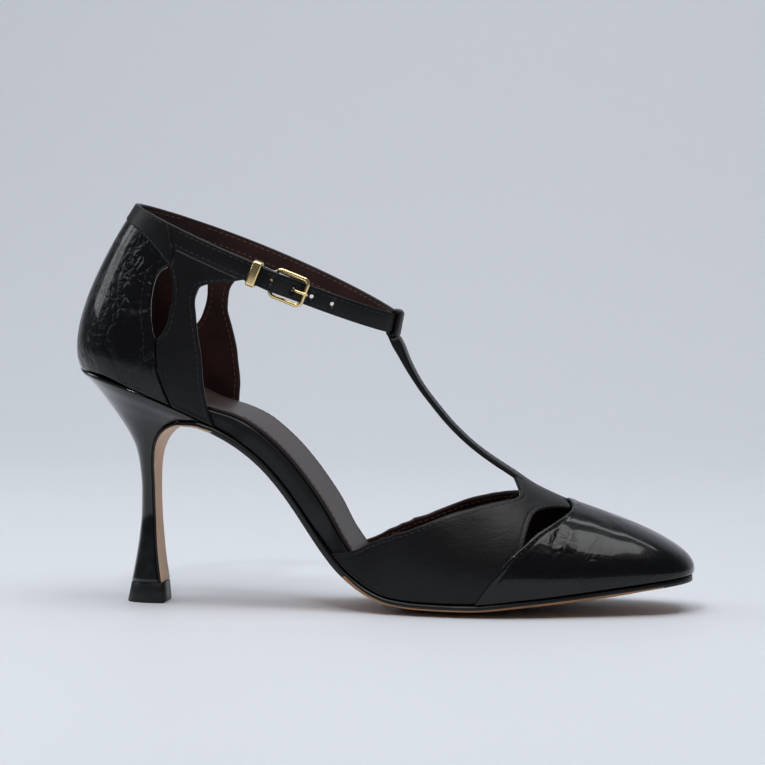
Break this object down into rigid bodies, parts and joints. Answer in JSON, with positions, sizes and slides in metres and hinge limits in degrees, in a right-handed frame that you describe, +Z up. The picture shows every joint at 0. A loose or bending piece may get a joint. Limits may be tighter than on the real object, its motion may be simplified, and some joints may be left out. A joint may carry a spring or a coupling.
{
  "type": "t-strap pump",
  "caption": "Right T-strap pump with open waist, gloss toe cap and counter, ankle strap with gold buckle and a tall flared spool heel.",
  "frame": {"origin": "centre of the bounding box's bottom face, on the floor under the middle of the shoe", "axes": "+X from the heel to the toe, +Y to the inner side of the foot, +Z up from the floor"},
  "size_m": [0.2418, 0.0772, 0.1567],
  "materials": {
    "calf": "semi-matte black calf with a fine grain",
    "patent": "high-gloss black patent embossed with large plates",
    "lacquer": "glossy black covered heel",
    "sole_leather": "tan sole leather, its edge and the arch stained black",
    "sock_leather": "taupe smooth leather",
    "rubber": "black top piece",
    "gold": "polished gold plate"
  },
  "bodies": {
    "root": {"outsole": "sole_leather", "heel": "lacquer", "heel_tip": "rubber", "insole_board": "calf", "sock": "sock_leather", "vamp": "calf", "toe_cap": "patent", "counter": "patent", "back_collar": "calf", "quarter_outer": "calf", "quarter_inner": "calf", "buckle_billet": "calf", "ankle_strap": "calf", "buckle_frame": "gold", "buckle_prong": "gold", "keeper": "gold"}
  },
  "joints": []
}
